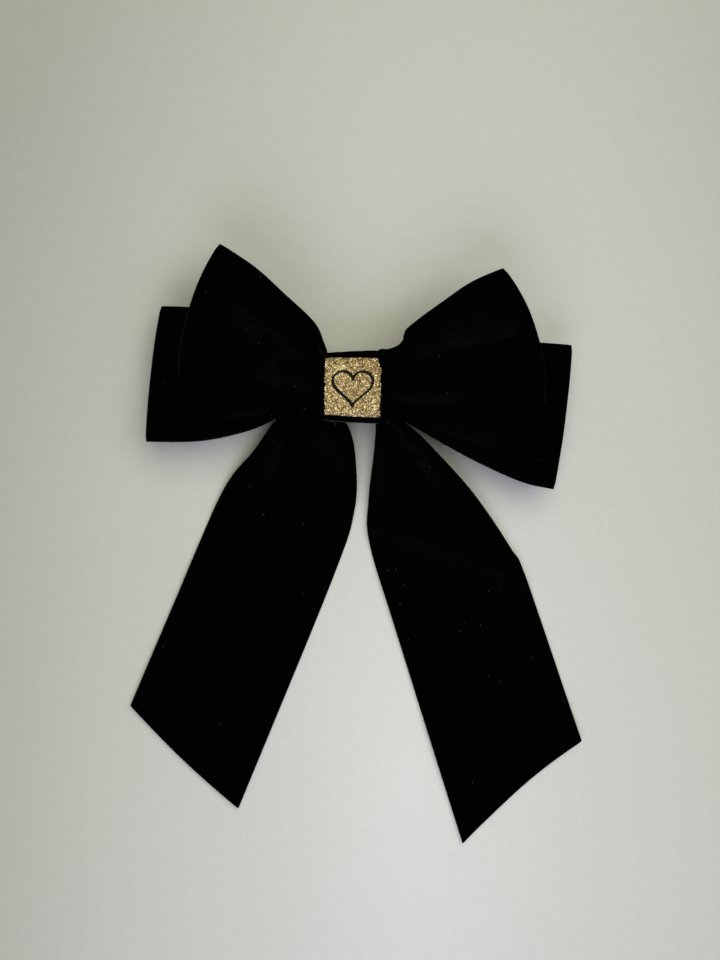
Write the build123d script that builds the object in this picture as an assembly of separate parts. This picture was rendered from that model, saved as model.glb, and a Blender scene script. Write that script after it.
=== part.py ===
from build123d import *
import os
from math import asin, cos, degrees, sin, sqrt

os.makedirs("parts", exist_ok=True)

# A velvet hair bow lying on its back: two ribbon rings make four loops, a third strip makes two
# tails, a band wraps the knot, and a spring barrette is held behind it. Millimetres, +Z out of
# the bow's front, tails towards -Y. Everything is drawn from the knot, at the height of the
# surface that it lies on, and moved at the end so that the origin is under the middle of the bow.

# Ribbon and knot
RIBBON_T = 1.2          # velvet ribbon, 50 mm wide
WAIST_T = 2 * RIBBON_T  # both layers of a ring, pressed together in the knot
GATHER_Y = 10.0         # half width of the ribbon where it is gathered
GAP = 0.1               # between pieces that lie on each other in the knot
RING_GAP = 0.5          # between the two rings
THREAD = 0.45
WRAP_T = 1.0
WRAP_X = 10.0           # half width of the band round the knot
TAIL_WAIST_X = 12.5     # half length of the tail strip's flat middle
FLAT_U = 15.0           # how far from the knot's middle the rings stay pressed flat
LONG = 200.0            # longer than anything here

# Barrette: a curved base, and an arm that closes under it
BASE_R = 130.0          # inside radius of the base
BASE_T = 0.8
BASE_X, BASE_Y = 38.0, 4.5
BASE_TOP = 13.2
ARM_T = 0.8
ARM_Y = 4.2
ARM_END_X = 38.5
ARM_MID_Z, ARM_PIN_Z, ARM_END_Z = 3.9, 1.2, 1.0
PIN_X, PIN_Z, PIN_R = -36.0, 2.2, 0.7
PIN_HALF = 4.9
EAR_R, EAR_T = 1.9, 0.8 # the base's two hinge ears
KNUCKLE_R = 1.5         # the arm's knuckle round the pin
KNUCKLE_Y = 3.5
RUNNING = 0.05          # radial clearance of the arm on its pin
SEATED = 0.02           # radial clearance of the ears on the pin
CORNER_R = 2.0          # plan corners of the base and the arm
BAR_X, BAR_Y, BAR_T = 31.0, 3.0, 0.4
BAR_MID_Z, BAR_END_Z = 10.1, 8.1
BRIDGE_X, BRIDGE_T = 29.0, 0.5  # the bridges of the base that the tension bar's ends slide over
BRIDGE_WIDE, POST_T = 2.0, 0.6
BAR_SIDE = 0.2          # beside the tension bar in its bridges
CATCH_X = 34.5          # where the catch is riveted under the base
RIVET_R, RIVET_HEAD_R = 0.8, 1.5
LEAF_X, LEAF_T = 2.4, 0.5       # half length and thickness of a catch tab
LEAF_Y = 2.15           # from the catch's middle to the middle of a leaf
WINDOW = 5.8            # the arm's square window, which the leaves go through

# Heights in the knot, from the barrette's base up
TAIL_Z = BASE_TOP + THREAD + GAP + 0.05
BACK_Z = TAIL_Z + RIBBON_T + GAP
FRONT_Z = BACK_Z + WAIST_T + RING_GAP
BUNDLE_TOP = FRONT_Z + WAIST_T
WRAP_IN_TOP = BUNDLE_TOP + THREAD + 2 * GAP
PATCH_Z = WRAP_IN_TOP + WRAP_T + GAP / 2
PATCH_X, PATCH_Y, PATCH_T = 18.8, 19.8, 0.9
PATCH_SHIFT_Y = -0.2    # the patch sits a little low on the wrap
HEART_LOBE, HEART_STROKE, HEART_T = 3.9, 0.7, 0.2
HEART_DROP = 1.3        # the heart sits a little low on the patch

# Loops: the two ends of each outer fold, seen from the front, the bulge of the two long edges,
# and the heights of the lower and upper layer half way out, and of the fold
LOOPS = {
    "front": {
        "waist": FRONT_Z, "low": 20.8, "high": 31.0, "fold": 21.8, "fold_r": 3.0,
        "left": ((-44.4, 48.3), (-58.3, 2.8), 5.5, 1.0),
        "right": ((51.5, 40.1), (65.1, -7.3), 2.7, 1.0),
    },
    "back": {
        "waist": BACK_Z, "low": 9.9, "high": 17.9, "fold": 11.2, "fold_r": 3.0,
        "left": ((-65.8, 28.7), (-71.0, -17.8), 1.0, 2.8),
        "right": ((76.4, 15.2), (70.1, -34.5), 1.0, 2.0),
    },
}

# Tails: both ends of the hinge line, then the outline from its outer end round to its inner end
HINGE_Z = 8.0
SLOPE_S = 42.0          # how far from the hinge line a tail comes down to the surface
TAILS = {
    "left": {
        "hinge": ((-31.2, -14.6), (-0.5, -27.2)),
        "outline": ((-46.3, -35.6), (-78.5, -111.9), (-40.4, -148.2), (-7.6, -66.9),
                    (-0.5, -46.6), (1.6, -33.9)),
    },
    "right": {
        "hinge": ((25.7, -17.4), (7.2, -23.4)),
        "outline": ((41.0, -36.7), (62.0, -66.2), (81.7, -124.3), (39.7, -160.6),
                    (8.7, -61.5), (5.9, -49.0)),
    },
}
# Where each tail leaves the knot, beside the wrap and round its lower corner
SHOULDERS = {
    "left": ((-12.2, -3.5), (-12.2, -13.2), (-6.0, -17.0)),
    "right": ((12.2, -3.5), (12.2, -13.2), (9.0, -16.0)),
}


def arc_z(x, radius, top):
    """Height at x of an arc of this radius whose highest point is at top."""
    return top - radius + sqrt(radius**2 - x**2)


def prism(outline):
    """Everything above and below an outline of straight points, or of arcs given as 3-tuples."""
    return extrude(make_face(outline), amount=LONG, both=True)


def polygon(points):
    return Polyline(*points, close=True)


def bulged(start, end, bulge, away_from):
    """An arc from start to end that bulges away from a point."""
    a, b, centre = Vector(*start), Vector(*end), Vector(*away_from)
    side = Vector(-(b - a).Y, (b - a).X).normalized()
    middle = (a + b) * 0.5
    if side.dot(middle - centre) < 0:
        side = side * -1
    return ThreePointArc(a, middle + side * bulge, b)


def upright(out):
    """A plane whose X is a horizontal direction, and whose Y is up."""
    return Plane(origin=(0, 0, 0), x_dir=out, z_dir=out.cross(Vector(0, 0, 1)))


def slab(x, y, low, high):
    return Pos(0, 0, (low + high) / 2) * Box(2 * x, 2 * y, high - low)


def loop_side(ring, side):
    """One hollow loop, open at both long edges, with a flat waist in the knot."""
    top, bottom, bulge_top, bulge_bottom = ring[side]
    along_fold = (Vector(*bottom) - Vector(*top)).normalized()
    out = Vector(-along_fold.Y, along_fold.X)
    if out.dot(Vector(*top)) < 0:
        out = out * -1
    reach = out.dot(Vector(*top))
    waist, low, high = ring["waist"], ring["low"], ring["high"]
    fold, r, middle = ring["fold"], ring["fold_r"], (FLAT_U + reach) / 2
    before_fold = reach - r
    outside = make_face([
        Polyline((-FLAT_U, waist + WAIST_T), (-FLAT_U, waist), (FLAT_U, waist)),
        ThreePointArc((FLAT_U, waist), (middle, low), (before_fold, fold - r)),
        ThreePointArc((before_fold, fold - r), (reach, fold), (before_fold, fold + r)),
        ThreePointArc((before_fold, fold + r), (middle, high), (FLAT_U, waist + WAIST_T)),
        Line((FLAT_U, waist + WAIST_T), (-FLAT_U, waist + WAIST_T)),
    ])
    root = (FLAT_U + 4, waist + RIBBON_T)
    inner_r = r - RIBBON_T
    inside = make_face([
        ThreePointArc(root, (middle, low + RIBBON_T), (before_fold, fold - inner_r)),
        ThreePointArc((before_fold, fold - inner_r), (reach - RIBBON_T, fold),
                      (before_fold, fold + inner_r)),
        ThreePointArc((before_fold, fold + inner_r), (middle, high - RIBBON_T), root),
    ])
    section = upright(out) * (outside - inside)
    hollow = extrude(section, amount=LONG, both=True)
    sign = -1 if top[0] < 0 else 1
    waist_top, waist_bottom = (sign * WRAP_X, GATHER_Y), (sign * WRAP_X, -GATHER_Y)
    plan = prism([
        Line((0, GATHER_Y), waist_top),
        bulged(waist_top, top, bulge_top, bottom),
        Line(top, bottom),
        bulged(bottom, waist_bottom, bulge_bottom, top),
        Line(waist_bottom, (0, -GATHER_Y)),
        Line((0, -GATHER_Y), (0, GATHER_Y)),
    ])
    return hollow & plan


def loop_ribbon(ring):
    return loop_side(ring, "left") + loop_side(ring, "right")


def tail_frame(tail):
    """The middle of a tail's hinge line, and the level direction in which the tail runs."""
    outer, inner = (Vector(*p) for p in tail["hinge"])
    across = (inner - outer).normalized()
    run = Vector(across.Y, -across.X)
    if run.Y > 0:
        run = run * -1
    return (outer + inner) * 0.5, run


def tail_plane(tail):
    middle, run = tail_frame(tail)
    plane = upright(run)
    return Plane(origin=middle, x_dir=plane.x_dir, z_dir=plane.z_dir)


def moving_tail(tail):
    """A tail from its rounded hinge edge down to the surface, where it lies flat."""
    half = RIBBON_T / 2
    low = Spline((0, HINGE_Z - half), (SLOPE_S, 0), tangents=[(1, -0.22), (1, 0)])
    high = Spline((0, HINGE_Z + half), (SLOPE_S, RIBBON_T), tangents=[(1, -0.22), (1, 0)])
    section = make_face([
        low,
        Line((SLOPE_S, 0), (LONG, 0)),
        Line((LONG, 0), (LONG, RIBBON_T)),
        Line((LONG, RIBBON_T), (SLOPE_S, RIBBON_T)),
        high,
        ThreePointArc((0, HINGE_Z + half), (-half, HINGE_Z), (0, HINGE_Z - half)),
    ])
    strip = extrude(tail_plane(tail) * section, amount=LONG, both=True)
    middle, run = tail_frame(tail)
    outer, inner = (Vector(*p) - run * 2 for p in tail["hinge"])
    return strip & prism([polygon([outer, *tail["outline"], inner])])


def fold_arm(tail, shoulder):
    """The fixed start of a tail, from beside the wrap down to the hinge line."""
    half, clear = RIBBON_T / 2, RIBBON_T / 2 + 0.35
    level = TAIL_Z + half
    section = make_face([polygon([
        (-14, level - half), (-clear, HINGE_Z - half), (-clear, HINGE_Z + half),
        (-14, level + half), (-40, level + half), (-40, level - half),
    ])])
    strip = extrude(tail_plane(tail) * section, amount=LONG, both=True)
    outer, inner = tail["hinge"]
    return strip & prism([polygon([*shoulder, inner, outer])])


def tail_fold():
    """The gathered middle of the tail strip, with the start of both tails."""
    middle = slab(TAIL_WAIST_X, GATHER_Y, TAIL_Z, TAIL_Z + RIBBON_T)
    for side in ("left", "right"):
        middle += fold_arm(TAILS[side], SHOULDERS[side])
    return middle


def across_knot(face, half_x):
    """A face drawn with X as the bow's Y and Y as its Z, drawn out both ways along the bow's X."""
    plane = Plane(origin=(0, 0, 0), x_dir=(0, 1, 0), z_dir=(1, 0, 0))
    return extrude(plane * face, amount=half_x, both=True)


def wrap_outline():
    """The inside of the wrap: round the bundle of ribbons in front, and round the base behind."""
    narrow, floor = BASE_Y + 0.6, arc_z(WRAP_X, BASE_R, BASE_TOP - BASE_T) - GAP
    wide, shoulder = GATHER_Y + THREAD + 2 * GAP, TAIL_Z - THREAD - 2 * GAP
    face = make_face([polygon([
        (-narrow, floor), (narrow, floor), (wide, shoulder), (wide, WRAP_IN_TOP),
        (-wide, WRAP_IN_TOP), (-wide, shoulder),
    ])])
    return face, Vector(narrow, floor), Vector(wide, shoulder)


def centre_wrap():
    inside = wrap_outline()[0]
    outside = offset(inside, amount=WRAP_T, kind=Kind.ARC)
    return across_knot(outside - inside, WRAP_X)


def wrap_stitches():
    """Five stitches over the seam on the wrap's sloping upper flank."""
    _, below, above = wrap_outline()
    flank = (above - below).normalized()
    normal = Vector(flank.Y, -flank.X)
    middle = (above + below) * 0.5
    length, thick, pitch = 2.4, 0.35, 4.0
    seat = middle + normal * (WRAP_T + thick / 2 + 0.02)
    tilt = degrees(asin(flank.Y))
    stitch = Rot(tilt, 0, 0) * Box(0.5, length, thick)
    return Compound([Pos(pitch * i, seat.X, seat.Y) * stitch for i in range(-2, 3)])


def gather_thread():
    """Three turns of thread round the bundle, under the wrap."""
    height = BUNDLE_TOP - TAIL_Z
    grow = 2 * (THREAD + GAP / 2)
    hole = RectangleRounded(2 * GATHER_Y + GAP, height + GAP, 0.04)
    ring = RectangleRounded(2 * GATHER_Y + grow, height + grow, THREAD) - hole
    ring = Pos(0, (BUNDLE_TOP + TAIL_Z) / 2) * ring
    turn = across_knot(ring, THREAD / 2)
    return Compound([Pos(1.2 * i, 0, 0) * turn for i in (-1, 0, 1)])


def glitter_patch():
    face = RectangleRounded(PATCH_X, PATCH_Y, 0.8)
    return Pos(0, PATCH_SHIFT_Y, PATCH_Z) * extrude(face, amount=PATCH_T)


def patch_motif():
    """A heart outline: two discs and a tilted square, with the same shape cut out smaller."""
    square = Rot(0, 0, 45) * Rectangle(2 * HEART_LOBE, 2 * HEART_LOBE)
    reach = HEART_LOBE / sqrt(2)
    lobe = Circle(HEART_LOBE)
    heart = square + Pos(-reach, reach) * lobe + Pos(reach, reach) * lobe
    outline = heart - offset(heart, amount=-HEART_STROKE)
    return Pos(0, PATCH_SHIFT_Y - HEART_DROP, PATCH_Z + PATCH_T) * extrude(outline, amount=HEART_T)


def lengthwise(face, half_y):
    """A face drawn with X along the barrette and Y up, drawn out both ways across it."""
    return extrude(Plane.XZ * face, amount=half_y, both=True)


def curved_strip(x_from, x_to, z_ends, z_mid, thick):
    """The side view of a strip bent to an arc, from the heights of its underside."""
    (low_from, low_to), middle = z_ends, (0, z_mid)
    return make_face([
        ThreePointArc((x_from, low_from), middle, (x_to, low_to)),
        Line((x_to, low_to), (x_to, low_to + thick)),
        ThreePointArc((x_to, low_to + thick), (0, z_mid + thick), (x_from, low_from + thick)),
        Line((x_from, low_from + thick), (x_from, low_from)),
    ])


def catch_frame():
    """The place of the catch: X along the base's underside, Z square out of its top."""
    lean = asin(CATCH_X / BASE_R)
    under = arc_z(CATCH_X, BASE_R, BASE_TOP - BASE_T)
    return Plane(origin=(CATCH_X, 0, under), x_dir=(cos(lean), 0, -sin(lean)),
                 z_dir=(sin(lean), 0, cos(lean))).location


def bridge(x):
    """A strap across the base's underside, on two posts, that holds an end of the tension bar."""
    half = BAR_Y + BAR_SIDE
    foot = BAR_END_Z - GAP - BRIDGE_T
    head = arc_z(abs(x) + BRIDGE_WIDE / 2, BASE_R, BASE_TOP - BASE_T) + BASE_T / 2
    strap = Pos(x, 0, foot + BRIDGE_T / 2) * Box(BRIDGE_WIDE, 2 * (half + POST_T), BRIDGE_T)
    for edge in (-1, 1):
        post = Box(BRIDGE_WIDE, POST_T, head - foot)
        strap += Pos(x, edge * (half + POST_T / 2), (head + foot) / 2) * post
    return strap


def hinge_ear():
    """The side view of an ear: a disc round the pin on a stem up into the base."""
    disc, hole = Circle(EAR_R), Circle(PIN_R + SEATED)
    far, near = PIN_X - EAR_R, PIN_X + EAR_R
    root = [(x, arc_z(x, BASE_R, BASE_TOP - BASE_T / 2)) for x in (near, PIN_X, far)]
    stem = make_face([polygon([(far, PIN_Z), (near, PIN_Z), *root])])
    return lengthwise(Pos(PIN_X, PIN_Z) * disc + stem - Pos(PIN_X, PIN_Z) * hole, EAR_T / 2)


def barrette_base():
    """The curved plate, its two hinge ears, and a bridge under each end of the tension bar."""
    under = BASE_TOP - BASE_T
    end_z = arc_z(BASE_X, BASE_R, under)
    plate = lengthwise(curved_strip(-BASE_X, BASE_X, (end_z, end_z), under, BASE_T), BASE_Y)
    plate &= extrude(RectangleRounded(2 * BASE_X, 2 * BASE_Y, CORNER_R), amount=LONG, both=True)
    ear = hinge_ear()
    for side in (-1, 1):
        plate += Pos(0, side * (BASE_Y - EAR_T / 2), 0) * ear
        plate += bridge(side * BRIDGE_X)
    return plate - catch_frame() * Cylinder(RIVET_R + SEATED, 6)


def hinge_pin():
    return Pos(PIN_X, 0, PIN_Z) * Rot(90, 0, 0) * Cylinder(PIN_R, 2 * PIN_HALF)


def clasp_arm():
    """A bent strip with a knuckle round the pin and a window for the catch."""
    strip = curved_strip(PIN_X, ARM_END_X, (ARM_PIN_Z, ARM_END_Z), ARM_MID_Z, ARM_T)
    middle, length = (ARM_END_X + PIN_X) / 2, ARM_END_X - PIN_X
    plan = extrude(RectangleRounded(length, 2 * ARM_Y, CORNER_R), amount=LONG, both=True)
    arm = lengthwise(strip, ARM_Y) & Pos(middle, 0, 0) * plan
    neck_from, wide_from, neck_to = PIN_X - 2.2, PIN_X + 4.0, PIN_X + 7.2
    neck = Pos((neck_from + neck_to) / 2, 0, 0) * Box(neck_to - neck_from, 2 * KNUCKLE_Y, LONG)
    arm = (arm & neck) + (arm - Pos(PIN_X, 0, 0) * Box(2 * (wide_from - PIN_X), LONG, LONG))
    arm += lengthwise(Pos(PIN_X, PIN_Z) * Circle(KNUCKLE_R), KNUCKLE_Y)
    arm -= lengthwise(Pos(PIN_X, PIN_Z) * Circle(PIN_R + RUNNING), LONG)
    return arm - Pos(CATCH_X - 1.5, 0, 0) * Box(WINDOW, WINDOW, LONG)


def tension_bar():
    return lengthwise(
        curved_strip(-BAR_X, BAR_X, (BAR_END_Z, BAR_END_Z), BAR_MID_Z, BAR_T), BAR_Y)


def catch_bracket():
    """The riveted plate, with a lip along each side that a catch tab springs from."""
    plate_t, lip_t, top = 0.6, 0.6, -0.05
    plate = Pos(0, 0, top - plate_t / 2) * Box(2 * LEAF_X + 1, 5.2, plate_t)
    for side in (-1, 1):
        plate += Pos(0, side * 2.3, -0.7) * Box(2 * LEAF_X, lip_t, 0.7)
    return catch_frame() * (plate - Cylinder(RIVET_R + SEATED, 6))


def catch_rivet():
    """A rivet through the base and the bracket, with a head above and a flat head below."""
    shank, head, foot = 2.5, 0.5, 0.4
    rivet = Pos(0, 0, 0.1) * Cylinder(RIVET_R, shank)
    rivet += Pos(0, 0, BASE_T + 0.05 + head / 2) * Cylinder(RIVET_HEAD_R, head)
    return catch_frame() * (rivet + Pos(0, 0, -0.7 - foot / 2) * Cylinder(RIVET_HEAD_R, foot))


def catch_tab(side):
    """A spring leaf through the arm's window, with a barb under the arm and a finger tab."""
    root_z, barb_z, barb_out = -1.35, -7.1, 0.8
    face_y = LEAF_Y + LEAF_T / 2
    leaf = Box(2 * LEAF_X, LEAF_T, root_z - barb_z)
    leaf = Pos(0, side * LEAF_Y, (root_z + barb_z) / 2) * leaf
    barb_top = barb_z + 0.65
    barb_face = Plane(origin=(0, 0, 0), x_dir=(0, side, 0), z_dir=(side, 0, 0)) * make_face(
        [polygon([(face_y, barb_z), (face_y + barb_out, barb_top), (face_y, barb_top)])])
    barb = extrude(barb_face, amount=LEAF_X, both=True)
    tab_from, tab_to, tab_z, lip_drop = 2.2, 6.6, -2.75, 1.6
    tab = Box(2 * LEAF_X, tab_to - tab_from, LEAF_T)
    tab = Pos(0, side * (tab_from + tab_to) / 2, tab_z) * tab
    lip = Box(2 * LEAF_X, LEAF_T, lip_drop)
    lip = Pos(0, side * (tab_to - LEAF_T / 2), tab_z + 0.15 - lip_drop / 2) * lip
    return catch_frame() * (leaf + barb + tab + lip)


nodes = {
    "front_loop_ribbon": loop_ribbon(LOOPS["front"]),
    "back_loop_ribbon": loop_ribbon(LOOPS["back"]),
    "tail_fold": tail_fold(),
    "left_tail": moving_tail(TAILS["left"]),
    "right_tail": moving_tail(TAILS["right"]),
    "gather_thread": gather_thread(),
    "centre_wrap": centre_wrap(),
    "wrap_stitches": wrap_stitches(),
    "glitter_patch": glitter_patch(),
    "patch_motif": patch_motif(),
    "barrette_base": barrette_base(),
    "hinge_pin": hinge_pin(),
    "clasp_arm": clasp_arm(),
    "tension_bar": tension_bar(),
    "catch_bracket": catch_bracket(),
    "catch_rivet": catch_rivet(),
    "catch_tab_upper": catch_tab(1),
    "catch_tab_lower": catch_tab(-1),
}

bow = Compound(list(nodes.values())).bounding_box()
to_origin = Pos(-(bow.min.X + bow.max.X) / 2, -(bow.min.Y + bow.max.Y) / 2, -bow.min.Z)
print("knot at", -(bow.min.X + bow.max.X) / 2, -(bow.min.Y + bow.max.Y) / 2, -bow.min.Z)
for name, solid in nodes.items():
    export_step(to_origin * solid, f"parts/{name}.step")
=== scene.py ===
import math

import bmesh
import bpy
import numpy as np
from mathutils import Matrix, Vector, noise


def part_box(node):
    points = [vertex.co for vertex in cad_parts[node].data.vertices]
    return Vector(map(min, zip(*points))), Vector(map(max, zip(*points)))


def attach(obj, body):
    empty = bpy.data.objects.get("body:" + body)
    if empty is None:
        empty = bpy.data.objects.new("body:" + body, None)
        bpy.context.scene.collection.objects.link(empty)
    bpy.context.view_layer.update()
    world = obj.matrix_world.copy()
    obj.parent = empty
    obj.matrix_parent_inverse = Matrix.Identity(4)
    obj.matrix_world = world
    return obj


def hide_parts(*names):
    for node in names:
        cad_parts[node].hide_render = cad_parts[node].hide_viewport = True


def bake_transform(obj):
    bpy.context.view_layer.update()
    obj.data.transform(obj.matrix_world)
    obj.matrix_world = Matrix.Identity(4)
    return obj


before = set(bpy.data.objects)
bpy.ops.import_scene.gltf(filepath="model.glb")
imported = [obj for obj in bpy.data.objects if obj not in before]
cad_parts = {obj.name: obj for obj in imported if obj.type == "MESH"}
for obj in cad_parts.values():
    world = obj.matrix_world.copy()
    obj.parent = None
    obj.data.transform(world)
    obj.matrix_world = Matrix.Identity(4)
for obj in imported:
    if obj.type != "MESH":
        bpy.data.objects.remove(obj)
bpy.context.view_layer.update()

MM = 0.001
RIBBON_W = 50 * MM        # the ribbon as cut
RIBBON_T = 1.0 * MM       # its thickness
LAYER = 1.2 * MM          # from one layer to the next in the knot
RING_GAP = 0.5 * MM       # between the two rings there
SELVEDGE_W = 0.8 * MM     # the woven edge, which has no pile
SELVEDGE_THIN = 0.5       # its share of the thickness
CLEAR = 0.1 * MM          # the least gap from the ribbon to the surface under it

# The knot, from the CAD
wrap_low, wrap_high = (Vector(c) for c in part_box("centre_wrap"))
patch_low, patch_high = (Vector(c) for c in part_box("glitter_patch"))
thread_low, thread_high = (Vector(c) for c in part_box("gather_thread"))
KNOT = Vector(((wrap_low.x + wrap_high.x) / 2, (wrap_low.y + wrap_high.y) / 2, 0))
BUNDLE_TOP = thread_high.z - 0.5 * MM
FRONT_OVER = BUNDLE_TOP - LAYER / 2
FRONT_UNDER = FRONT_OVER - LAYER
BACK_OVER = FRONT_UNDER - LAYER - RING_GAP
BACK_UNDER = BACK_OVER - LAYER
TAIL_LAYER = BACK_UNDER - LAYER

# ---------------------------------------------------------------- curves and sheets


def smooth_path(points, samples=400):
    """A smooth curve through the points, as a function of the share of its length."""
    p = np.array(points, float)
    ends = [2 * p[0] - p[1], *p, 2 * p[-1] - p[-2]]
    dense = []
    for a, b, c, d in zip(ends, ends[1:], ends[2:], ends[3:]):
        t = np.linspace(0, 1, samples // len(p), endpoint=False)[:, None]
        dense.append(0.5 * (2 * b + (c - a) * t + (2 * a - 5 * b + 4 * c - d) * t**2
                            + (3 * b - a - 3 * c + d) * t**3))
    dense = np.vstack([*dense, p[-1:]])
    along = np.concatenate([[0], np.cumsum(np.linalg.norm(np.diff(dense, axis=0), axis=1))])
    along /= along[-1]

    def at(share):
        return np.stack([np.interp(share, along, dense[:, i]) for i in range(p.shape[1])], -1)
    return at


def ease(low, high, value):
    """A smooth step from 0 at low to 1 at high."""
    x = np.clip((value - low) / (high - low), 0, 1)
    return x * x * (3 - 2 * x)


def wobble(grid, size, amount, seed):
    """Smooth noise at each point of a grid of positions."""
    flat = grid.reshape(-1, 3)
    values = [noise.noise(Vector(p) / size + Vector((seed, seed * 1.7, -seed))) for p in flat]
    return amount * np.array(values).reshape(grid.shape[:-1])


def grid_normals(grid, closed, top_row):
    """Normals of a grid, turned so that those of top_row point up."""
    along = np.roll(grid, -1, 0) - np.roll(grid, 1, 0) if closed else np.gradient(grid, axis=0)
    n = np.cross(along, np.gradient(grid, axis=1))
    n = n / np.maximum(np.linalg.norm(n, axis=-1, keepdims=True), 1e-12)
    return n if n[top_row, :, 2].mean() > 0 else -n


def thick_sheet(name, grid, thickness, materials, closed=False, top_row=0, crushed_and_sheen=None,
                folded=None):
    """A sheet with thin rounded long edges, from a grid of points: rows along it, columns across.

    Its materials are the face's, the edges' and the back's. The pile values say, from 0 to 1 at each
    point of the grid, where the pile is pressed flat and carries a painted highlight, and folded in
    which rows a fold opens it.
    """
    rows, columns = grid.shape[:2]
    normals = grid_normals(grid, closed, top_row)
    width = np.linalg.norm(np.diff(grid[rows // 2], axis=0), axis=1)
    inward = np.concatenate([[0], np.cumsum(width)])
    inward = np.minimum(inward, inward[-1] - inward)
    half = thickness / 2 * (SELVEDGE_THIN + (1 - SELVEDGE_THIN) * ease(0, SELVEDGE_W, inward))
    over = grid + normals * half[:, None]
    under = grid - normals * half[:, None]
    outward = [grid[:, 0] - grid[:, 1], grid[:, -1] - grid[:, -2]]
    outward = [o / np.linalg.norm(o, axis=-1, keepdims=True) for o in outward]

    def rim(edge, out, n):
        return [edge + (out * math.sin(a) + n * math.cos(a)) * half[0]
                for a in (math.pi / 4, math.pi / 2, 3 * math.pi / 4)]
    ring = ([over[:, i] for i in range(columns)]
            + rim(grid[:, -1], outward[1], normals[:, -1])
            + [under[:, i] for i in reversed(range(columns))]
            + rim(grid[:, 0], outward[0], -normals[:, 0]))
    points = np.stack(ring, 1)
    around = points.shape[1]
    from_edge = [min(i, columns - 2 - i) for i in range(columns - 1)]
    selvedge = [inward[1:-1][min(k, columns - 3)] < SELVEDGE_W * 0.8 for k in from_edge]
    slots = [int(edge) for edge in selvedge] + [1] * 4 + [2] * (columns - 1) + [1] * 4
    faces, face_slots = [], []
    for r in range(rows if closed else rows - 1):
        s = (r + 1) % rows
        for i in range(around):
            j = (i + 1) % around
            faces.append((r * around + i, r * around + j, s * around + j, s * around + i))
            opened = folded is not None and folded[r] and slots[i] == 0
            face_slots.append(3 if opened else slots[i])
    if not closed:
        for r in (0, rows - 1):
            ends = [(i, i + 1, 2 * columns + 1 - i, 2 * columns + 2 - i) for i in range(columns - 1)]
            ends.append(range(columns - 1, columns + 4))
            ends.append([2 * columns + 2 + k for k in range(4)] + [0])
            for loop in ends:
                loop = [r * around + k % around for k in loop]
                faces.append(loop if r else loop[::-1])
                face_slots.append(1)
    mesh = bpy.data.meshes.new(name)
    mesh.from_pydata(points.reshape(-1, 3).tolist(), [], faces)
    mesh.polygons.foreach_set("material_index", face_slots)
    for material in (*materials, OPENED) if folded is not None else materials:
        mesh.materials.append(material)
    if crushed_and_sheen is not None:
        around_rim = [crushed_and_sheen[:, -1:]] * 3 + [crushed_and_sheen[:, ::-1] * 0] + [crushed_and_sheen[:, :1]] * 3
        values = mesh.attributes.new("crushed_and_sheen", "FLOAT", "POINT")
        values.data.foreach_set("value", np.concatenate([crushed_and_sheen, *around_rim], 1).ravel())
    return finished(name, mesh)


def finished(name, mesh):
    """An object of a mesh, with its faces turned outwards and shaded smooth."""
    bm = bmesh.new()
    bm.from_mesh(mesh)
    bmesh.ops.recalc_face_normals(bm, faces=bm.faces)
    bm.to_mesh(mesh)
    bm.free()
    mesh.shade_smooth()
    piece = bpy.data.objects.new(name, mesh)
    bpy.context.collection.objects.link(piece)
    return piece


# ---------------------------------------------------------------- materials


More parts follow.
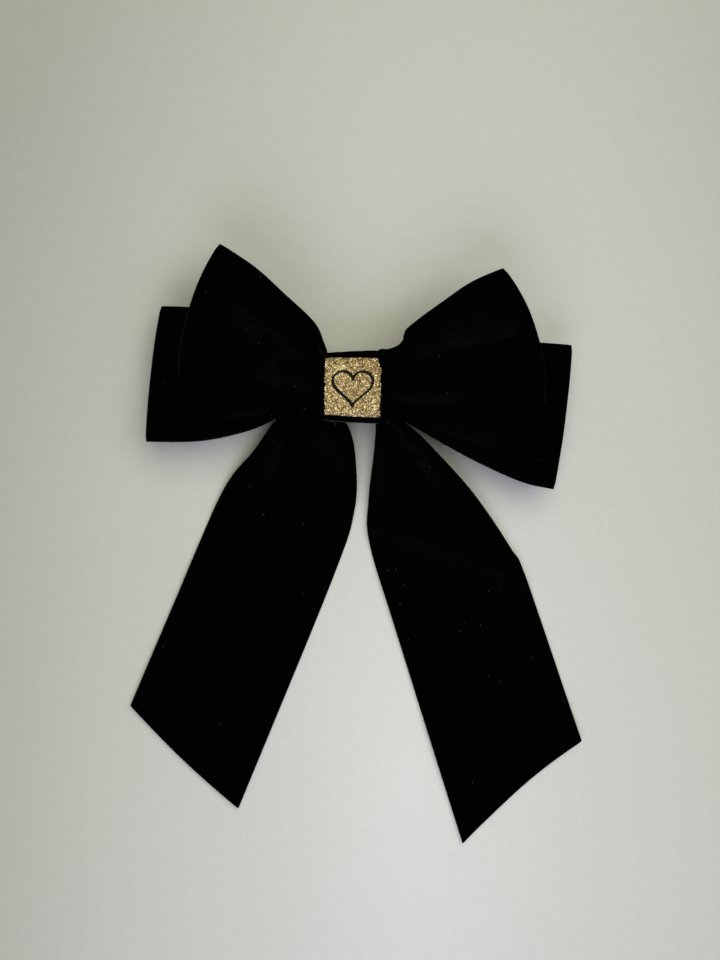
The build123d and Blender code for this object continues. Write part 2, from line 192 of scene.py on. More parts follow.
class Shader:
    """A material with a Principled shader, and short ways to add nodes."""

    def __init__(self, name, **values):
        self.material = bpy.data.materials.new(name)
        self.material.use_nodes = True
        self.tree = self.material.node_tree
        self.bsdf = self.tree.nodes["Principled BSDF"]
        for key, value in values.items():
            self.bsdf.inputs[key.replace("_", " ")].default_value = value
        self.coords = self.add("ShaderNodeTexCoord").outputs["Object"]

    def add(self, kind, **settings):
        node = self.tree.nodes.new(kind)
        for key, value in settings.items():
            setattr(node, key, value)
        return node

    def link(self, source, target):
        self.tree.links.new(source, target)

    def noise(self, scale, detail=3.0, roughness=0.5, distortion=0.0, vector=None):
        node = self.add("ShaderNodeTexNoise")
        node.inputs["Scale"].default_value = scale
        node.inputs["Detail"].default_value = detail
        node.inputs["Roughness"].default_value = roughness
        node.inputs["Distortion"].default_value = distortion
        self.link(vector or self.coords, node.inputs["Vector"])
        return node.outputs["Fac"]

    def wave(self, scale, direction, distortion=0.0):
        node = self.add("ShaderNodeTexWave", wave_type="BANDS", bands_direction=direction)
        node.inputs["Scale"].default_value = scale
        node.inputs["Distortion"].default_value = distortion
        self.link(self.coords, node.inputs["Vector"])
        return node.outputs["Fac"]

    def cells(self, scale):
        """Voronoi cells: the distance from each one's middle, and two values chosen by cell."""
        node = self.add("ShaderNodeTexVoronoi")
        node.inputs["Scale"].default_value = scale
        self.link(self.coords, node.inputs["Vector"])
        split = self.add("ShaderNodeSeparateColor")
        self.link(node.outputs["Color"], split.inputs["Color"])
        return node.outputs["Distance"], split.outputs["Red"], split.outputs["Green"]

    def scaled(self, scale):
        """The object's coordinates, stretched."""
        node = self.add("ShaderNodeMapping")
        node.inputs["Scale"].default_value = scale
        self.link(self.coords, node.inputs["Vector"])
        return node.outputs["Vector"]

    def ramp(self, source, *stops):
        """A colour ramp of (position, colour) stops."""
        node = self.add("ShaderNodeValToRGB")
        elements = node.color_ramp.elements
        while len(elements) < len(stops):
            elements.new(0.5)
        for element, (position, colour) in zip(elements, stops):
            element.position = position
            element.color = (*colour, 1)
        self.link(source, node.inputs["Fac"])
        return node.outputs["Color"]

    def range(self, source, low, high, to_low, to_high):
        node = self.add("ShaderNodeMapRange")
        for key, value in (("From Min", low), ("From Max", high), ("To Min", to_low),
                           ("To Max", to_high)):
            node.inputs[key].default_value = value
        self.link(source, node.inputs["Value"])
        return node.outputs["Result"]

    def mix(self, factor, a, b, blend="MIX"):
        """A colour mix; factor is a socket or a number, a and b are sockets or colours."""
        node = self.add("ShaderNodeMix", data_type="RGBA", blend_type=blend)
        for socket, value in ((node.inputs[0], factor), (node.inputs[6], a), (node.inputs[7], b)):
            if isinstance(value, (float, int)):
                socket.default_value = value
            elif isinstance(value, tuple):
                socket.default_value = (*value, 1)
            else:
                self.link(value, socket)
        return node.outputs[2]

    def times(self, a, b):
        return self.mix(1.0, a, b, "MULTIPLY")

    def bump(self, height, distance, strength=1.0, normal=None):
        node = self.add("ShaderNodeBump")
        node.inputs["Distance"].default_value = distance
        node.inputs["Strength"].default_value = strength
        self.link(height, node.inputs["Height"])
        if normal is not None:
            self.link(normal, node.inputs["Normal"])
        return node.outputs["Normal"]

    def colour(self, source):
        self.link(source, self.bsdf.inputs["Base Color"])

    def roughness(self, source):
        self.link(source, self.bsdf.inputs["Roughness"])

    def normal(self, source):
        self.link(source, self.bsdf.inputs["Normal"])


def velvet(name, sheen):
    """Black cut pile: hardly any diffuse light, a thin sheen at glancing angles, a little lint."""
    s = Shader(name, Roughness=1.0, Sheen_Weight=sheen, Sheen_Roughness=0.15,
               Sheen_Tint=(0.66, 0.68, 0.68, 1), Specular_IOR_Level=0.0)
    rubbed = s.noise(95, 4, 0.6, 0.3)
    base = s.ramp(rubbed, (0.3, (0.0002, 0.0006, 0.0004)), (0.8, (0.0006, 0.0010, 0.0008)))
    # Crushed pile and painted highlight: lighter in patches beside the creases and where a tail lands
    flat = s.add("ShaderNodeAttribute", attribute_name="crushed_and_sheen").outputs["Fac"]
    fine = s.ramp(s.noise(520, 4, 0.7), (0.35, (0.3,) * 3), (0.68, (1,) * 3))
    broad = s.ramp(s.noise(130, 3, 0.6, 0.8), (0.38, (0.2,) * 3), (0.62, (1,) * 3))
    base = s.mix(s.times(s.times(flat, fine), broad), base, (0.0030, 0.0032, 0.0031))
    distance, chance, _ = s.cells(700)
    speck = s.ramp(distance, (0.10, (1, 1, 1)), (0.2, (0, 0, 0)))
    rare = s.ramp(chance, (0.972, (0, 0, 0)), (0.98, (1, 1, 1)))
    dusty = s.ramp(s.noise(28, 2), (0.45, (0.15,) * 3), (0.6, (1, 1, 1)))
    s.colour(s.mix(s.times(s.times(speck, rare), dusty), base, (0.042, 0.041, 0.037)))
    coarse = s.bump(s.noise(420, 3, 0.6), 0.00006, 0.3)
    s.normal(s.bump(s.noise(2600, 2, 0.6), 0.00006, 0.35, coarse))
    return s.material


def woven(name, dark, light, rough, gloss):
    """Plain black weave: the ribbon's edges, or its satin back."""
    s = Shader(name, Roughness=rough, Specular_IOR_Level=gloss)
    weave = s.mix(0.5, s.wave(WEAVE, "X", 0.4), s.wave(WEAVE, "Y", 0.4))
    s.colour(s.ramp(weave, (0.25, dark), (0.8, light)))
    s.roughness(s.range(s.noise(300, 3), 0.3, 0.7, rough - 0.08, rough + 0.08))
    s.normal(s.bump(weave, 0.00006, 0.6))
    return s.material


def gold_glitter(name, tones, rough, metallic):
    """Gold and bronze foil, in tones that change from flake to flake and slowly over the patch."""
    s = Shader(name, Metallic=metallic, Roughness=rough)
    distance, shade, dull = s.cells(FLAKE_CELLS)
    tone = s.ramp(shade, *((i / (len(tones) - 1), t) for i, t in enumerate(tones)))
    worn = s.ramp(s.noise(150, 3, 0.6), (0.35, (0.72, 0.68, 0.64)), (0.65, (1, 1, 1)))
    s.colour(s.times(tone, worn))
    s.roughness(s.range(dull, 0, 1, rough - 0.1, rough + 0.15))
    s.normal(s.bump(distance, 0.00008, 0.7))
    return s.material


def black_vinyl():
    """Matt black heat-pressed vinyl with a fine grain."""
    s = Shader("black_vinyl", Roughness=0.55, Specular_IOR_Level=0.06)
    grain = s.noise(900, 3)
    s.colour(s.ramp(grain, (0.3, (0.002, 0.0018, 0.0016)), (0.7, (0.006, 0.0055, 0.005))))
    s.roughness(s.range(grain, 0.3, 0.7, 0.4, 0.6))
    s.normal(s.bump(grain, 0.00003, 0.6))
    return s.material


def sewing_thread():
    """Black thread with the slanting lines of its twist."""
    s = Shader("black_thread", Roughness=0.7, Sheen_Weight=0.3, Sheen_Roughness=0.4)
    twist = s.wave(900, "DIAGONAL")
    s.colour(s.ramp(twist, (0.2, (0.004, 0.004, 0.004)), (0.8, (0.02, 0.02, 0.021))))
    s.normal(s.bump(twist, 0.00008))
    return s.material


def steel(name, tone, rough):
    """Pressed strip steel: fine brushing along x, and dull spots."""
    s = Shader(name, Metallic=1.0, Roughness=rough)
    brushed = s.noise(1.0, 4, vector=s.scaled((60, 2600, 2600)))
    light = tuple(min(1, c * 1.12) for c in tone)
    dark = tuple(c * 0.72 for c in tone)
    s.colour(s.ramp(s.noise(160, 4, 0.65), (0.3, dark), (0.7, light)))
    s.roughness(s.range(brushed, 0.3, 0.7, rough - 0.08, rough + 0.14))
    s.normal(s.bump(brushed, 0.00002, 0.5))
    return s.material


def paper_floor():
    """Matt paper with a fine grain, and a painted pool of light: bright in an oval between the tails,
    darker and warmer away from it.
    """
    s = Shader("pale_floor", Roughness=0.82, Specular_IOR_Level=0.25)
    fine = s.noise(340, 5, 0.7)
    tone = s.ramp(s.noise(5, 2), (0.3, (0.520, 0.520, 0.485)), (0.7, (0.545, 0.545, 0.510)))
    paper = s.mix(0.14, tone, s.ramp(fine, (0.3, (0.4, 0.4, 0.37)), (0.7, (0.6, 0.6, 0.56))))
    away = s.add("ShaderNodeVectorMath", operation="DISTANCE")
    s.link(s.scaled((1, 0.4, 1)), away.inputs[0])
    away.inputs[1].default_value = (0.02, -0.032, 0.0)
    # painted pool of light: cool and bright in the oval, falling off and warming towards the edges
    painted_light_falloff = s.ramp(away.outputs["Value"], (0.0, (1.11, 1.11, 1.15)), (0.056, (0.97, 0.97, 0.985)),
                    (0.11, (0.87, 0.87, 0.85)), (0.17, (0.70, 0.69, 0.66)))
    s.colour(s.times(paper, painted_light_falloff))
    s.normal(s.bump(fine, 0.0003, 0.25))
    return s.material


FLAKE_CELLS = 3200        # cells of colour in the glitter, per metre
WEAVE = 380               # a third of the ribbon's threads per metre
VELVET = velvet("black_velvet", 0.55)
OPENED = velvet("opened_velvet", 0.12)      # where a fold spreads the pile, it shines less
VINYL, THREAD = black_vinyl(), sewing_thread()
SELVEDGE = woven("black_selvedge", (0.0003, 0.0004, 0.0004), (0.0012, 0.0013, 0.0013), 0.9, 0.0)
SATIN = woven("black_satin_back", (0.002, 0.002, 0.0022), (0.007, 0.007, 0.0075), 0.55, 0.2)
RIBBON = (VELVET, SELVEDGE, SATIN)          # its face, its edges and its back
GOLD = ((0.17, 0.11, 0.04), (0.40, 0.28, 0.11), (0.68, 0.50, 0.23), (1.0, 0.87, 0.60))
GLUE = ((0.13, 0.085, 0.03), (0.25, 0.172, 0.068), (0.38, 0.28, 0.115))
FLAKES = gold_glitter("gold_flakes", GOLD, 0.30, 0.9)
GLITTER = gold_glitter("gold_glitter", GLUE, 0.6, 0.35)
STEEL = steel("nickel_steel", (0.62, 0.61, 0.58), 0.3)
SPRING = steel("spring_steel", (0.44, 0.45, 0.47), 0.36)

# ---------------------------------------------------------------- folds

WIDTH = np.array([0, 0.25, 0.5, 0.75, 1.0, 1.4, 2.2]) * MM      # the first columns, from an edge in
GATHERS = 3.4             # waves across the ribbon at the knot
NARROWEST = 16 * MM       # the width of the ribbon where it is drawn in the most


def across(count):
    """Where the columns lie across the ribbon, from -1 to 1, close together at its edges."""
    edge = -1 + 2 * WIDTH / RIBBON_W
    return np.concatenate([edge, np.linspace(edge[-1], -edge[-1], count)[1:-1], -edge[::-1]])


def gathers(v, out, phase):
    """The height of the gathers, from -1 to 1: sharp and close at the knot, wide further out."""
    v, out = np.broadcast_arrays(v, out)
    turn = GATHERS * math.pi * v + phase
    close = np.sin(turn + 0.9 * out + 0.45 * np.sin(turn))
    wide = np.sin(1.55 * math.pi * v + 1.7 * phase - 0.6 * out)
    return close * (1 - ease(0.12, 0.6, out)) + 0.75 * wide * ease(0.1, 0.4, out)


def gather_depth(width, share):
    """How deep the gathers are where the ribbon is drawn in to this width.

    With a share of 1 the waves would be deep enough to hold the whole width of the ribbon.
    """
    slope = np.sqrt(np.maximum((RIBBON_W / np.maximum(width, NARROWEST))**2 - 1, 0))
    return slope * math.sqrt(2) * width / (2 * math.pi * GATHERS) * share


def crease(plan, line, height, soft, sharp):
    """A ridge over a line in the plan, and where it crushes the pile and lays a painted highlight on
    the ridge's gentler side.

    It falls off over soft millimetres to the line's left, and over sharp ones to its right.
    """
    path = smooth_path(np.array(line) * MM)
    share = np.linspace(0, 1, 50)
    points, ahead = path(share), path(share + 0.02) - path(share - 0.02)
    gap = plan[..., None, :] - points
    nearest = np.argmin((gap**2).sum(-1), -1)
    gap = np.take_along_axis(gap, nearest[..., None, None], -2)[..., 0, :]
    ahead = ahead[nearest] / np.linalg.norm(ahead[nearest], axis=-1, keepdims=True)
    side = ahead[..., 0] * gap[..., 1] - ahead[..., 1] * gap[..., 0]     # above 0 to its left
    far = np.linalg.norm(gap, axis=-1)
    reach = np.where(side > 0, soft, sharp) * MM
    round_top = 1.8 * MM
    fall = np.exp(-(np.sqrt(far**2 + round_top**2) - round_top) / reach)
    s = share[nearest]
    rise = fall * (0.25 + 0.75 * ease(0, 0.2, s)) * (1 - ease(0.55, 1, s))    # it dies out at its end
    # crushed pile that also carries a painted highlight, on the side that falls off more slowly
    mark = rise**1.6 * ease(-0.5 * MM, 0.6 * MM, side if soft > sharp else -side)
    return height * MM * rise, mark


# ---------------------------------------------------------------- the loops

# Each ring: the heights of its over and under layers in the knot, of the middle of its loops'
# upper and lower sides and of the fold, how far the fold is rounded and the loop crowned.
# Each loop from the knot, in millimetres: its two long edges from the wrap to the fold, how far
# the fold bows out, its creases (line, height, soft and sharp reach), and the gathers' phase
FRONT = {
    "over": FRONT_OVER, "under": FRONT_UNDER, "high": 27.6 * MM, "low": 21.2 * MM,
    "fold": 21.8 * MM, "round": 2.4 * MM, "crown": 3.8 * MM,
    "left": {
        "upper": ((-7.6, 9.2), (-8.1, 11.4), (-9.3, 15.0), (-12.2, 20.8), (-21.7, 29.7),
                  (-31.6, 38.9), (-44.1, 47.7)),
        "lower": ((-8.6, -8.6), (-20.0, -9.0), (-38.0, -4.0), (-57.6, 2.6)),
        "bow": 3.4,
        "creases": (
            (((-13.0, 7.8), (-19.0, 12.5), (-27.7, 18.9), (-39.3, 28.5), (-45.0, 34.0)), 1.6, 7.0, 3.0),
            (((-9.0, -3.0), (-19.0, -3.0), (-30.0, 1.5), (-40.0, 6.0)), 1.2, 2.6, 4.5),
        ),
        "phase": 0.6,
    },
    "right": {
        "upper": ((7.6, 9.2), (9.6, 12.4), (12.6, 12.3), (15.9, 13.4), (17.8, 16.0), (18.2, 18.2),
                  (21.8, 21.3), (29.6, 27.0), (39.8, 34.1), (51.2, 39.6)),
        "lower": ((8.6, -8.4), (22.0, -11.5), (42.0, -11.5), (64.6, -7.5)),
        "bow": 4.7,
        "creases": (
            (((62.6, 16.5), (53.9, 15.9), (32.5, 10.9), (18.2, 6.3), (8.5, 3.4)), 2.0, 2.4, 7.5),
            (((9.0, -3.5), (20.0, -6.0), (32.0, -6.5), (44.0, -5.0)), 1.2, 4.5, 2.6),
        ),
        "phase": 2.2,
    },
}
BACK = {
    "over": BACK_OVER, "under": BACK_UNDER, "high": 16.9 * MM, "low": 9.8 * MM,
    "fold": 11.2 * MM, "round": 2.3 * MM, "crown": 1.5 * MM,
    "left": {
        "upper": ((-8.4, 8.8), (-20.0, 17.0), (-42.0, 26.0), (-65.6, 28.5)),
        "lower": ((-8.6, -7.6), (-21.7, -8.4), (-34.8, -13.9), (-52.1, -17.6), (-70.8, -17.9)),
        "bow": 0.8,
        "creases": ((((-12.0, -5.0), (-26.0, -8.0), (-42.0, -11.0), (-56.0, -11.0)), 1.2, 2.5, 5.0),),
        "phase": 1.9,
    },
    "right": {
        "upper": ((8.6, 8.8), (24.0, 14.0), (48.0, 16.0), (76.1, 15.0)),
        "lower": ((8.6, -7.4), (20.4, -12.1), (41.2, -23.6), (58.6, -31.6), (69.9, -34.4)),
        "bow": 0.8,
        "creases": ((((12.0, -6.0), (30.0, -14.5), (48.0, -21.0), (60.0, -24.0)), 1.2, 5.0, 2.5),),
        "phase": 0.3,
    },
}
AROUND = 100              # rows in each loop
REACH = 60 * MM           # of the drawn section, which each loop's own edges stretch
BRIDGE = 8                # rows in the knot, from one loop to the other
OPENED_SHARE = 0.035      # of a loop's rows, to each side of its fold
ACROSS = across(54)


def loop_grid(ring, side):
    """One loop from its over layer at the wrap, round the fold, to its under layer.

    Each point has its place and, as a fourth value, how far its pile is crushed and lit by a painted
    highlight.
    """
    shape = ring[side]
    upper, lower = (smooth_path(np.array(shape[k]) * MM) for k in ("upper", "lower"))
    over, under, high, low = (ring[k] for k in ("over", "under", "high", "low"))
    fold, r = ring["fold"], ring["round"]
    section = smooth_path([
        (0, over), (0.04 * REACH, over), (0.085 * REACH, over + 0.3 * (high - over)),
        (0.20 * REACH, over + 0.8 * (high - over)), (0.42 * REACH, high),
        (0.72 * REACH, 0.6 * high + 0.4 * (fold + r)), (0.94 * REACH, fold + r), (REACH, fold),
        (0.94 * REACH, fold - r), (0.72 * REACH, 0.5 * low + 0.5 * (fold - r)),
        (0.45 * REACH, low), (0.22 * REACH, under + 0.6 * (low - under)),
        (0.08 * REACH, under + 0.1 * (low - under)), (0, under)])
    rows = np.linspace(0, 1, AROUND)
    path = section(rows)
    t, height = np.clip(path[:, 0] / REACH, 0, 1)[:, None], path[:, 1][:, None]
    outer = 2 * ease(0.42, 0.58, 1 - rows)[:, None] - 1      # 1 on the upper side, -1 on the lower
    v = ACROSS[None]
    a, b = upper(t[:, 0]), lower(t[:, 0])
    share = (v[..., None] + 1) / 2
    plan = a[:, None] * (1 - share) + b[:, None] * share
    corner_a, corner_b = a[AROUND // 2], b[AROUND // 2]
    along = (corner_b - corner_a) / np.linalg.norm(corner_b - corner_a)
    out = np.array([-along[1], along[0]])
    out = out if out @ corner_a > 0 else -out
    plan = plan + (shape["bow"] * MM * t**2 * (1 - np.abs(v)**2.2))[..., None] * out
    z = height + outer * ring["crown"] * np.sin(math.pi * t**0.8) * (1 - np.abs(v)**2.4)
    width = np.linalg.norm(b - a, axis=-1)[:, None]
    depth = gather_depth(width, 0.62)
    depth = depth * ease(0.035, 0.11, t) * (1 - ease(0.6, 0.97, t)) + 0.1 * MM
    z = z + depth * (1 - 0.35 * v**6) * gathers(v, t, shape["phase"])
    # crushed pile and a painted highlight along each crease, on the loop's upper side only
    crushed_and_sheen = np.zeros_like(z)
    for ridge in shape["creases"]:
        rise, mark = crease(plan, *ridge)
        z = z + rise * np.maximum(outer, 0)
        crushed_and_sheen = np.maximum(crushed_and_sheen, mark * outer)
    return np.concatenate([plan + np.array([KNOT.x, KNOT.y]), z[..., None], crushed_and_sheen[..., None]], -1)


def bridge(first, last, count):
    """Rows between two rows, without the rows themselves."""
    share = np.linspace(0, 1, count + 2)[1:-1, None, None]
    return first[None] * (1 - share) + last[None] * share


def ring_piece(name, ring):
    """Both loops of a ring and the layers between them in the knot, and the ring's length."""
    left, right = loop_grid(ring, "left"), loop_grid(ring, "right")
    rows = np.concatenate([right, bridge(right[-1], left[-1], BRIDGE), left[::-1],
                           bridge(left[0], right[0], BRIDGE)])
    rows, crushed_and_sheen = rows[..., :3], rows[..., 3]
    place = np.arange(len(rows)) % (len(rows) // 2) / AROUND
    folded = np.abs(place - 0.5) < OPENED_SHARE
    rows[..., 2] += wobble(rows, 14 * MM, 0.5 * MM, seed=ring["left"]["phase"])
    piece = thick_sheet(name, rows, RIBBON_T, RIBBON, True, AROUND // 4, crushed_and_sheen, folded)
    return piece, np.linalg.norm(np.diff(rows[:, len(ACROSS) // 2], axis=0), axis=1).sum()


front, front_len = ring_piece("front_loops", FRONT)
back, back_len = ring_piece("back_loops", BACK)

# ---------------------------------------------------------------- the tails

# Each tail's outer and inner edges from the knot in millimetres, how far its cut end bows in, its
# creases as for the loops, the line where it lands on the surface, how bright a painted highlight
# it leaves along that line, and the gathers' phase
TAILS = {
    "left": {
        "outer": ((-9.8, 4.0), (-17.0, -3.5), (-25.8, -10.4), (-33.8, -20.8), (-45.8, -35.9),
                  (-62.0, -73.0), (-78.5, -111.8)),
        "inner": ((-9.8, -5.0), (-6.8, -9.4), (-1.2, -13.0), (1.3, -23.7), (0.9, -42.0),
                  (-7.2, -67.2), (-40.4, -148.1)),
        "cut_bow": -1.2,
        "creases": (
            (((-9.0, -4.0), (-13.8, -9.4), (-4.5, -21.8), (-1.8, -30.0), (-1.0, -38.0)), 1.5, 2.0, 4.0),
            (((-12.0, -4.0), (-20.0, -12.0), (-26.0, -26.0), (-30.0, -40.0)), 1.4, 3.0, 5.0),
        ),
        "landing": ((-48.0, -42.0), (1.0, -52.0)), "landing_highlight": 0.1,
        "phase": 0.4,
    },
    "right": {
        "outer": ((10.6, 3.0), (13.5, -7.0), (25.0, -17.0), (42.5, -35.7), (56.5, -55.8),
                  (62.2, -67.0), (81.7, -124.3)),
        "inner": ((10.2, -5.0), (8.8, -10.7), (8.5, -17.5), (6.2, -38.5), (6.6, -53.8),
                  (16.0, -85.0), (39.7, -160.6)),
        "cut_bow": 1.7,
        "creases": (
            (((11.0, -4.0), (15.0, -14.0), (26.0, -30.0), (36.0, -44.0)), 1.5, 5.0, 2.5),
            (((10.5, -8.0), (11.5, -20.0), (12.0, -34.0), (13.0, -46.0)), 1.3, 3.0, 3.0),
        ),
        "landing": ((5.0, -48.5), (60.0, -67.5)), "landing_highlight": 0.9,
        "phase": 1.1,
    },
}
TAIL_ROWS = 150
TAIL_ACROSS = across(50)


def tail_grid(side):
    """A tail from under the wrap, down to the surface at its landing line, and flat from there."""
    shape = TAILS[side]
    outer, inner = (smooth_path(np.array(shape[k]) * MM) for k in ("outer", "inner"))
    s, v = np.linspace(0, 1, TAIL_ROWS), TAIL_ACROSS[None]
    a, b = outer(s), inner(s)
    share = ((v + 1) / 2)[..., None]
    plan = a[:, None] * (1 - share) + b[:, None] * share
    end = (a[-1] + b[-1] - a[TAIL_ROWS // 3] - b[TAIL_ROWS // 3]) / 2
    end = end / np.linalg.norm(end)
    plan = plan - (shape["cut_bow"] * MM * ease(0.8, 1, s)[:, None] * (1 - v**2))[..., None] * end
    start, stop = (np.array(p) * MM for p in shape["landing"])
    along = (stop - start) / np.linalg.norm(stop - start)
    square = np.array([along[1], -along[0]])
    square = square if square[1] < 0 else -square
    past = (plan - start) @ square                      # beyond the landing line
    from_knot = np.linalg.norm(plan, axis=-1)
    lowest = RIBBON_T / 2 + CLEAR
    drop = np.clip(-past / (from_knot - past), 0, 1)    # 1 at the knot, 0 at the landing line
    z = lowest + (TAIL_LAYER - lowest) * (0.72 * drop + 0.28 * ease(0, 1, drop))
    z = z + 0.9 * MM * np.exp(-(past / (3.5 * MM))**2)   # the ribbon springs a little where it lands
    width = np.linalg.norm(b - a, axis=-1)[:, None]
    near = ease(5 * MM, 14 * MM, from_knot)
    z = z + gather_depth(width, 0.6) * near * drop**0.6 * gathers(v, 1 - drop, shape["phase"])
    z = z + 2.2 * MM * near * drop**0.7 * (1 - v**2)     # its middle stands up
    # a painted highlight along the bend where the tail lands on the surface
    crushed_and_sheen = 0.5 * np.exp(-(past / (2.5 * MM))**2) * shape["landing_highlight"]
    for ridge in shape["creases"]:
        rise, mark = crease(plan, *ridge)
        z = z + rise * near
        crushed_and_sheen = np.maximum(crushed_and_sheen, mark * near)
    grid = np.concatenate([plan + np.array([KNOT.x, KNOT.y]), z[..., None]], -1)
    lift = 0.5 * MM + wobble(grid, 28 * MM, 0.9 * MM, seed=shape["phase"])
    grid[..., 2] = np.maximum(grid[..., 2] + lift * ease(0, 30 * MM, past), lowest)
    return grid, crushed_and_sheen


def tail_piece(side):
    grid, crushed_and_sheen = tail_grid(side)
    return thick_sheet(f"{side}_tail_ribbon", grid, RIBBON_T, RIBBON, False, TAIL_ROWS // 2, crushed_and_sheen)


left_tail, right_tail = tail_piece("left"), tail_piece("right")

# ---------------------------------------------------------------- the wrap, its patch and stitches


def closed_path(points):
    """A smooth closed curve through the points, as a function of the share of its length."""
    p = [*points[-2:], *points, *points[:2]]
    dense = smooth_path(p, 900)(np.linspace(0, 1, 1200))
    start = np.argmin(np.linalg.norm(dense[:600] - np.array(points[0]), axis=1))
    end = 600 + np.argmin(np.linalg.norm(dense[600:] - np.array(points[0]), axis=1))
    return smooth_path(dense[start:end + 1:6], 1200)


WRAP_ROWS = 120


def wrap_piece():
    """The band round the knot, its front pulled up a little and drawn in at its edges."""
    half = RIBBON_T / 2
    w = wrap_high.y - KNOT.y - half
    top, bottom = wrap_high.z - half, wrap_low.z + half
    shoulder = thread_low.z
    profile = closed_path([
        (0, top), (0.55 * w, top - 0.05 * MM), (0.88 * w, top - 0.7 * MM), (w, top - 2.6 * MM),
        (w, (top + shoulder) / 2), (0.96 * w, shoulder), (0.55 * w, bottom + 0.4 * MM), (0, bottom),
        (-0.55 * w, bottom + 0.4 * MM), (-0.96 * w, shoulder), (-w, (top + shoulder) / 2),
        (-w, top - 2.6 * MM), (-0.88 * w, top - 0.7 * MM), (-0.55 * w, top - 0.05 * MM)])
    around = profile(np.linspace(0, 1, WRAP_ROWS + 1))[:-1]
    y, z = around[:, :1], around[:, 1:]
    v = across(26)
    grid = np.zeros((WRAP_ROWS, len(v), 3))
    drawn = 1 - 0.035 * np.abs(v)**5
    grid[..., 0] = KNOT.x + v * (wrap_high.x - wrap_low.x) / 2
    grid[..., 1] = KNOT.y + y * drawn
    grid[..., 2] = z
    lean = np.where(y > 0, 0.5, -0.6) * MM * v     # its edges lean, as tied by hand
    grid[..., 1] += lean * ease(0.3, 1, np.abs(y) / w)
    grid[..., 1] += 0.8 * MM * ease(0.4, 1, y / w) * ease(shoulder, top, z)
    folds = 0.28 * MM * np.sin(v * 9 + 1.5 * np.sin(y / (6 * MM)))
    grid[..., 2] += folds * ease(0.5, 1, np.abs(y) / w) * (1 - v**2)
    return thick_sheet("velvet_wrap", grid, RIBBON_T, RIBBON, closed=True)


wrap = wrap_piece()

# How far each corner of the patch is from its place in the CAD, as (x, y) in millimetres
PATCH_SKEW = {"top_left": (0.7, -0.2), "top_right": (0.9, -0.3), "low_left": (0.4, 0.9),
              "low_right": (0.3, -0.2)}
PATCH_T = 0.7 * MM
PATCH_ROWS = 64
FLAKE_LEAN = 0.36         # how far the flakes tilt, as a slope
FLAKE_R = 0.24 * MM
FLAKES_ON_PATCH = 4600
HEART_STROKE = 0.78 * MM
VINYL_T = 0.14 * MM


def on_patch(u, v):
    """A point on the middle of the patch's thickness; u and v go from -1 to 1."""
    u, v = np.broadcast_arrays(np.asarray(u, float), np.asarray(v, float))
    point = np.zeros((*u.shape, 3))
    for key, side, end in (("low_left", -1, -1), ("low_right", 1, -1), ("top_left", -1, 1),
                           ("top_right", 1, 1)):
        share = (1 + side * u) * (1 + end * v) / 4
        corner = (patch_high.x if side > 0 else patch_low.x, patch_high.y if end > 0 else patch_low.y)
        for axis in (0, 1):
            point[..., axis] += share * (corner[axis] + PATCH_SKEW[key][axis] * MM)
    point[..., 0] += 0.1 * MM * u * (1 - v**2) + 0.05 * MM * np.sin(9 * v + 2) * np.abs(u)**9
    point[..., 1] += 0.1 * MM * v * (1 - u**2) + 0.05 * MM * np.sin(8 * u) * np.abs(v)**9
    middle = patch_high.z - PATCH_T / 2
    point[..., 2] = middle - 0.12 * MM * u**4 - 0.55 * MM * v**4 - 0.35 * MM * np.abs(v)**12
    point[..., 2] += 0.06 * MM * np.sin(5 * u + 2 * v) * np.cos(4 * v - u)
    return point


def patch_piece():
    u, v = np.linspace(-1, 1, 60), np.linspace(-1, 1, PATCH_ROWS)
    grid = on_patch(u[None], v[:, None])
    materials = (GLITTER, VINYL, VINYL)
    return thick_sheet("gold_patch", grid, PATCH_T, materials, top_row=PATCH_ROWS // 2)


def flakes_piece(count, size):
    """Small foil flakes on the patch, each tilted its own way."""
    rng = np.random.default_rng(7)
    u, v = rng.uniform(-0.985, 0.985, (2, count))
    centre = on_patch(u, v)
    step = 0.01
    tangents = [on_patch(u + step, v) - centre, on_patch(u, v + step) - centre]
    tangents = [t / np.linalg.norm(t, axis=-1, keepdims=True) for t in tangents]
    normal = np.cross(*tangents)
    lean = rng.normal(0, FLAKE_LEAN, (count, 2))
    turned = normal + tangents[0] * lean[:, :1] + tangents[1] * lean[:, 1:]
    turned /= np.linalg.norm(turned, axis=-1, keepdims=True)
    angle = rng.uniform(0, math.pi, count)[:, None]
    first = tangents[0] * np.cos(angle) + tangents[1] * np.sin(angle)
    first -= turned * (first * turned).sum(-1, keepdims=True)
    second = np.cross(turned, first)
    radius = size * rng.uniform(0.6, 1.15, count)[:, None]
    centre = centre + normal * (PATCH_T / 2 + 0.05 * MM + rng.uniform(0, 0.07, (count, 1)) * MM)
    corners = [centre + radius * (first * math.cos(a) + second * math.sin(a))
               for a in (k * math.pi / 3 for k in range(6))]
    points = np.stack(corners, 1).reshape(-1, 3)
    mesh = bpy.data.meshes.new("glitter_flakes")
    mesh.from_pydata(points.tolist(), [], [range(6 * i, 6 * i + 6) for i in range(count)])
    mesh.materials.append(FLAKES)
    piece = bpy.data.objects.new("glitter_flakes", mesh)
    bpy.context.collection.objects.link(piece)
    return piece


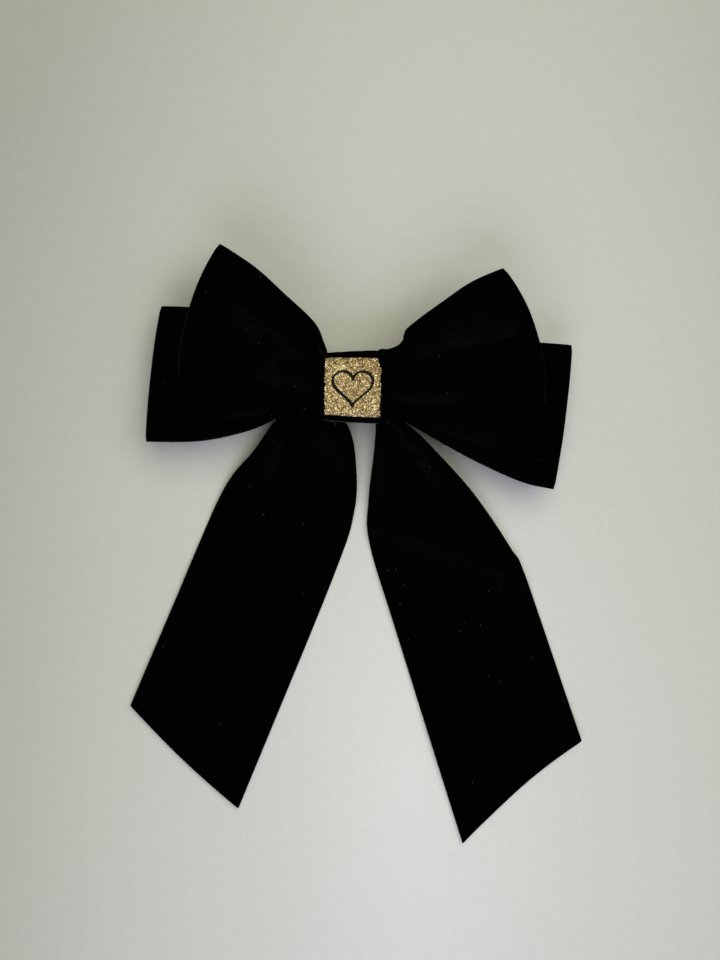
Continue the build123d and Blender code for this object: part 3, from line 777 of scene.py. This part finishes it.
def heart_piece():
    """The heart outline in thin vinyl, thick and thin like a pen stroke, on the curved patch."""
    low, high = (Vector(c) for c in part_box("patch_motif"))
    half = (patch_high - patch_low) / 2
    middle, size = (low + high) / 2, (high.x - low.x) / 2
    turn = np.linspace(0, 2 * math.pi, 161)[:-1]
    x = 16 * np.sin(turn)**3
    y = 13 * np.cos(turn) - 5 * np.cos(2 * turn) - 2 * np.cos(3 * turn) - np.cos(4 * turn)
    line = np.stack([x, y + 2.5], -1) / 16 * size
    ahead = np.roll(line, -1, 0) - np.roll(line, 1, 0)
    length = np.linalg.norm(ahead, axis=-1, keepdims=True)
    ahead = ahead / np.maximum(length, 1e-9)
    side = np.stack([ahead[:, 1], -ahead[:, 0]], -1)
    pen = HEART_STROKE * (0.75 + 0.5 * np.abs(side @ np.array([0.8, 0.6])))[:, None]
    strip = np.linspace(-0.5, 0.5, 5)
    plan = line[:, None] + side[:, None] * (pen * strip)[..., None]
    u = (plan[..., 0] + middle.x - (patch_low.x + patch_high.x) / 2) / half.x
    v = (plan[..., 1] + middle.y - (patch_low.y + patch_high.y) / 2) / half.y
    grid = on_patch(u, v)
    grid[..., 2] += PATCH_T / 2 + 0.16 * MM
    return thick_sheet("vinyl_heart", grid, VINYL_T, (VINYL,) * 3, closed=True)


patch = patch_piece()
flakes = flakes_piece(FLAKES_ON_PATCH, FLAKE_R)
heart = heart_piece()

STITCH_R = 0.17 * MM


def stitches_piece(count):
    """Whip stitches of doubled thread over the wrap's seam."""
    low, high = (Vector(c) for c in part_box("wrap_stitches"))
    curve = bpy.data.curves.new("seam_stitches", "CURVE")
    curve.dimensions, curve.bevel_depth, curve.bevel_resolution = "3D", STITCH_R, 2
    curve.use_fill_caps = True
    pitch = (high.x - low.x) / (count - 1)
    out = Vector((0, high.z - low.z, -(high.y - low.y))).normalized()
    if out.z > 0:
        out = -out
    for i in range(count):
        for twin in (-1, 1):
            spline = curve.splines.new("NURBS")
            spline.points.add(4)
            for k, point in enumerate(spline.points):
                share = k / 4
                place = Vector((low.x + pitch * i + (share - 0.5) * 1.1 * MM + twin * STITCH_R,
                                low.y + share * (high.y - low.y),
                                low.z + share * (high.z - low.z)))
                place += out * (math.sin(math.pi * share) * 0.5 - 0.35) * MM
                point.co = (*place, 1)
            spline.order_u, spline.use_endpoint_u = 3, True
    curve.materials.append(THREAD)
    piece = bpy.data.objects.new("seam_stitches", curve)
    bpy.context.collection.objects.link(piece)
    return piece


stitches = stitches_piece(6)

# ---------------------------------------------------------------- CAD nodes that stay

for node, material in (("gather_thread", THREAD), ("barrette_base", STEEL), ("hinge_pin", STEEL),
                       ("clasp_arm", STEEL), ("catch_bracket", STEEL), ("catch_rivet", STEEL),
                       ("tension_bar", SPRING), ("catch_tab_upper", SPRING),
                       ("catch_tab_lower", SPRING)):
    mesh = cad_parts[node].data
    mesh.materials.clear()
    mesh.materials.append(material)

# ---------------------------------------------------------------- what rides on what

for piece, node, slot in ((front, "front_loop_ribbon", "velvet"), (back, "back_loop_ribbon", "velvet"),
                          (wrap, "centre_wrap", "velvet"), (patch, "glitter_patch", "gold_glitter"),
                          (flakes, None, "gold_glitter"), (heart, "patch_motif", "black_vinyl"),
                          (stitches, "wrap_stitches", "thread")):
    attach(piece, "root")
    if node:
        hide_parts(node)

for piece, side in ((left_tail, "left"), (right_tail, "right")):
    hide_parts(f"{side}_tail", *(["tail_fold"] if side == "left" else []))
    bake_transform(piece)

# ---------------------------------------------------------------- floor, light and camera

VIEW_CENTRE = Vector((1.43 * MM, 24.75 * MM, 0))
CAMERA_HEIGHT = 380 * MM
VIEW_LONG_SIDE = 342.7 * MM
SENSOR = 36.0
FLOOR_R = 12.0


def make_floor():
    """A round floor, wide enough to reach past every view."""
    bm = bmesh.new()
    bmesh.ops.create_circle(bm, cap_ends=True, segments=64, radius=FLOOR_R)
    mesh = bpy.data.meshes.new("floor")
    bm.to_mesh(mesh)
    bm.free()
    floor = bpy.data.objects.new("floor", mesh)
    bpy.context.collection.objects.link(floor)
    mesh.materials.append(paper_floor())


def area_light(name, place, target, size, power, colour):
    data = bpy.data.lights.new(name, "AREA")
    data.shape, data.size, data.energy, data.color = "DISK", size, power, colour
    light = bpy.data.objects.new(name, data)
    bpy.context.collection.objects.link(light)
    light.location = place
    light.rotation_euler = (Vector(target) - Vector(place)).to_track_quat("-Z", "Y").to_euler()


def make_lights():
    """A cool window beyond the tails, a bluer one to the right, and a broad warm light above."""
    world = bpy.data.worlds.new("studio")
    bpy.context.scene.world = world
    world.use_nodes = True
    background = world.node_tree.nodes["Background"]
    background.inputs["Color"].default_value = (1.0, 1.0, 0.98, 1)
    background.inputs["Strength"].default_value = 0.16
    area_light("window", (-0.05, -0.6, 0.55), (0.0, -0.05, 0.0), 0.7, 4.0, (0.80, 0.79, 1.0))
    area_light("second_window", (0.65, 0.0, 0.5), (0.0, 0.0, 0.0), 0.6, 1.5, (0.5, 0.63, 1.0))
    area_light("room", (0.25, 0.35, 0.85), (0.05, 0.1, 0.0), 1.2, 9.0, (0.985, 1.0, 0.78))


def make_camera():
    """Straight above the bow, looking down at the middle of the picture."""
    data = bpy.data.cameras.new("camera")
    data.sensor_width = SENSOR
    data.lens = SENSOR * CAMERA_HEIGHT / VIEW_LONG_SIDE
    data.clip_start = 0.01
    camera = bpy.data.objects.new("camera", data)
    bpy.context.collection.objects.link(camera)
    camera.location = VIEW_CENTRE + Vector((0, 0, CAMERA_HEIGHT))
    bpy.context.scene.camera = camera


make_floor()
make_lights()
make_camera()
bpy.context.scene.view_settings.view_transform = "Standard"
